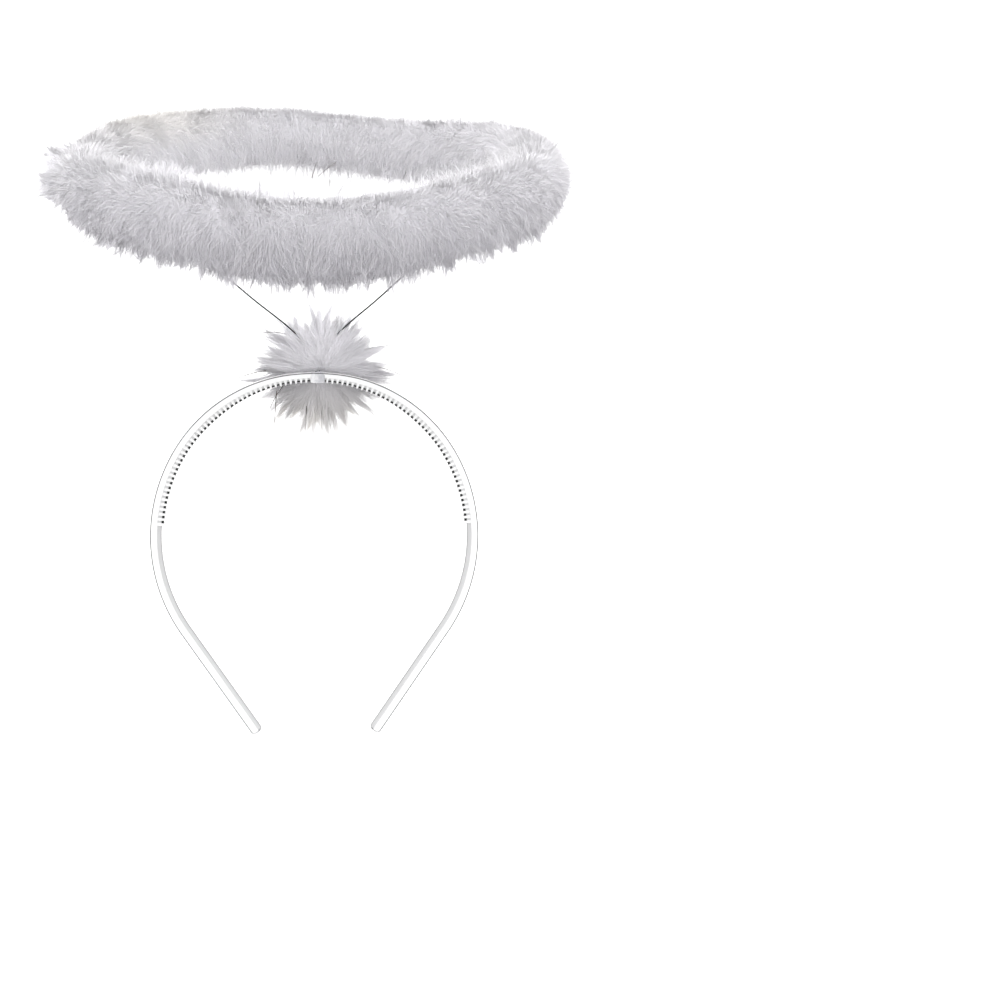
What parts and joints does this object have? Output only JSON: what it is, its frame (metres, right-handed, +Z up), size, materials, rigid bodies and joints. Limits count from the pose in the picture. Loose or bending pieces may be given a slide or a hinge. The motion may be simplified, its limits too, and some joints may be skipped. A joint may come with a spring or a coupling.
{
  "type": "halo headband",
  "caption": "Costume headband: a moulded comb band with a fluffy feather ring held above it on two thin wires, and a small fluffy tuft over the wires' foot.",
  "frame": {"origin": "the middle of the footprint of the headband's box as it lies on its back, on the surface it lies on", "axes": "+X to the right of the picture, +Y along the surface from the band's tips to the fluffy ring, +Z up from the surface; the front of the headband looks up and towards -Y"},
  "size_m": [0.2088, 0.2772, 0.1725],
  "materials": {
    "band_plastic": "white moulded plastic, satin gloss",
    "glue": "milky hot glue and clear tape, slightly uneven",
    "wire": "thin dark steel wire",
    "fluff": "soft white marabou feather fluff, a little grey"
  },
  "bodies": {
    "root": {"headband": "band_plastic", "glue_wrap": "glue", "left_stem_wire": "wire", "right_stem_wire": "wire", "hoop_wire": "wire", "halo_fluff": "fluff", "tuft": "fluff"}
  },
  "joints": []
}
